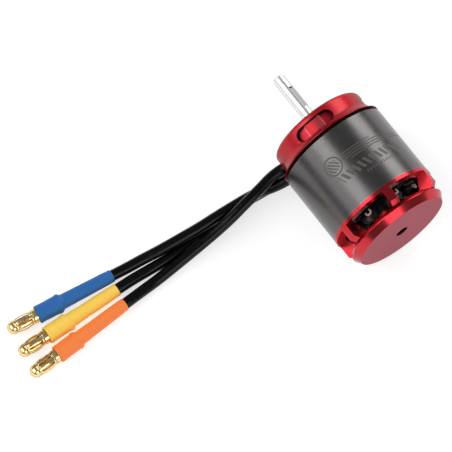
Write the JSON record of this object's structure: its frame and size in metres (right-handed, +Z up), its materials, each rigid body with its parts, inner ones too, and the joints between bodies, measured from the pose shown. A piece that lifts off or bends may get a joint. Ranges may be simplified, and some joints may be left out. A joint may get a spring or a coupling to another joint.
{
  "type": "brushless outrunner motor",
  "caption": "Brushless outrunner motor: red anodised mount and spoked bell, grey steel can, output shaft and three black leads with coloured sleeves and gold bullet plugs.",
  "frame": {"origin": "centre of the front mounting face, on the shaft axis", "axes": "+Y along the shaft, away from the mounting face; +Z up with the motor lying on its side; the leads run towards -X"},
  "size_m": [0.1043, 0.0495, 0.0282],
  "materials": {
    "red_anodised": "red anodised, satin machined",
    "gunmetal": "dark plated steel, fine circumferential grain",
    "shaft_steel": "ground and polished steel",
    "tube_aluminium": "turned aluminium",
    "bearing_steel": "polished bearing steel",
    "brass_parts": "brass",
    "magnet_nickel": "nickel plated magnet",
    "laminations": "stacked silicon steel",
    "insulator_black": "black epoxy coating",
    "enamelled_copper": "dark enamelled copper wire",
    "lacing_white": "white lacing cord",
    "lead_black": "black silicone insulation, semi-gloss",
    "shrink_black": "black heat-shrink",
    "shrink_blue": "blue heat-shrink, matte",
    "shrink_yellow": "yellow heat-shrink, matte",
    "shrink_orange": "orange heat-shrink, matte",
    "gold_plated": "gold plated, polished",
    "black_steel": "black oxide steel"
  },
  "bodies": {
    "stator": {"front_mount": "red_anodised", "bearing_tube": "tube_aluminium", "front_bearing_outer": "bearing_steel", "front_bearing_shields": "bearing_steel", "rear_bearing_outer": "bearing_steel", "rear_bearing_shields": "bearing_steel", "stator_core": "laminations", "front_insulator": "insulator_black", "rear_insulator": "insulator_black", "windings_a": "enamelled_copper", "windings_b": "enamelled_copper", "windings_c": "enamelled_copper", "winding_ties": "lacing_white", "lead_splices": "shrink_black", "lead_blue": "lead_black", "lead_yellow": "lead_black", "lead_orange": "lead_black", "sleeve_blue": "shrink_blue", "sleeve_yellow": "shrink_yellow", "sleeve_orange": "shrink_orange", "plug_blue": "gold_plated", "plug_yellow": "gold_plated", "plug_orange": "gold_plated", "spring_blue": "gold_plated", "spring_yellow": "gold_plated", "spring_orange": "gold_plated"},
    "rotor": {"flux_ring": "gunmetal", "magnets": "magnet_nickel", "rear_bell": "red_anodised", "shaft": "shaft_steel", "grub_screws": "black_steel", "front_bearing_inner": "bearing_steel", "rear_bearing_inner": "bearing_steel", "circlip": "black_steel", "front_shim": "brass_parts", "rear_spacer": "black_steel"},
    "front_ball_set": {"front_balls": "bearing_steel", "front_cage": "brass_parts"},
    "rear_ball_set": {"rear_balls": "bearing_steel", "rear_cage": "brass_parts"}
  },
  "joints": [
    {"name": "rotor_spin", "type": "hinge", "parent": "stator", "child": "rotor", "pos_m": [0, 0, 0], "axis": [0, 1, 0], "continuous": true},
    {"name": "front_ball_spin", "type": "hinge", "parent": "stator", "child": "front_ball_set", "pos_m": [0, -0.0033, 0], "axis": [0, 1, 0], "continuous": true},
    {"name": "rear_ball_spin", "type": "hinge", "parent": "stator", "child": "rear_ball_set", "pos_m": [0, -0.0244, 0], "axis": [0, 1, 0], "continuous": true}
  ],
  "couplings": [
    {"joint": "front_ball_spin", "follows": "rotor_spin", "ratio": 0.37496},
    {"joint": "rear_ball_spin", "follows": "rotor_spin", "ratio": 0.37496}
  ]
}
